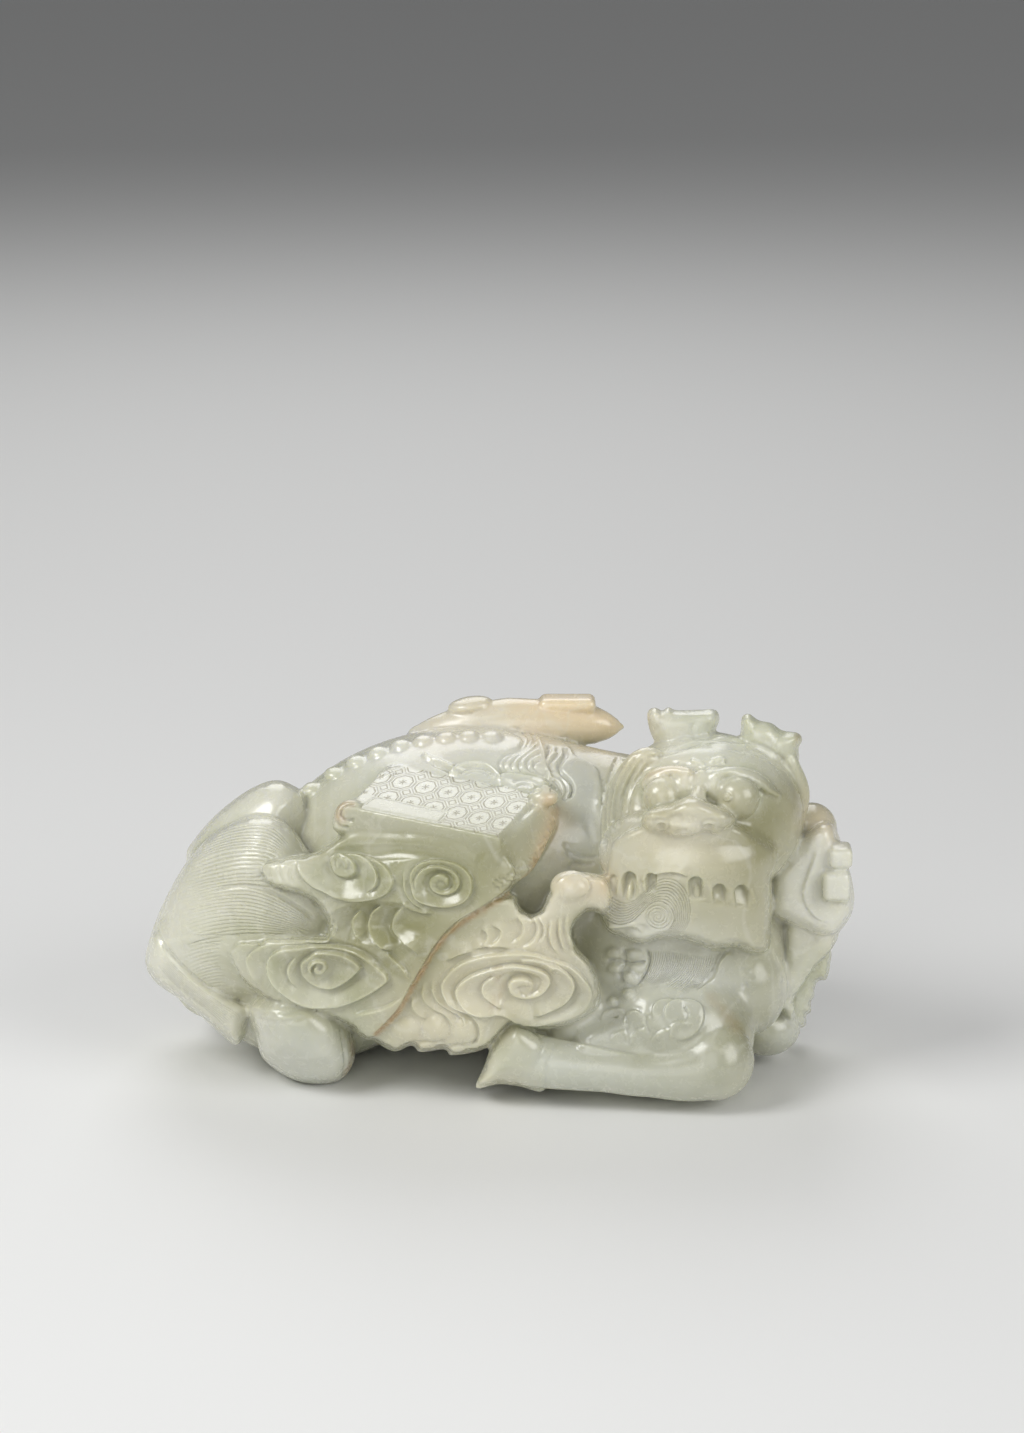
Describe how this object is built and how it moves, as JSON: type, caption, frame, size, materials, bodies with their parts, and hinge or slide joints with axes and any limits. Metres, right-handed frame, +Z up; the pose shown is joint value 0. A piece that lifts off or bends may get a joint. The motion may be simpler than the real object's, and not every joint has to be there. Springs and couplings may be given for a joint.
{
  "type": "jade qilin carving",
  "caption": "Recumbent horned beast carved from one jade pebble, head turned to the side, with clouds bearing a cased book, a wrapped scroll on its back and a sash.",
  "frame": {"origin": "on the resting plane, under the middle of the carving's box", "axes": "+Z up, +X towards the head along the longest extent, the near side with the face, clouds and book faces -Y"},
  "size_m": [0.1734, 0.0874, 0.0934],
  "materials": {
    "jade": null
  },
  "bodies": {
    "root": {"qilin_carving": "jade"}
  },
  "joints": []
}
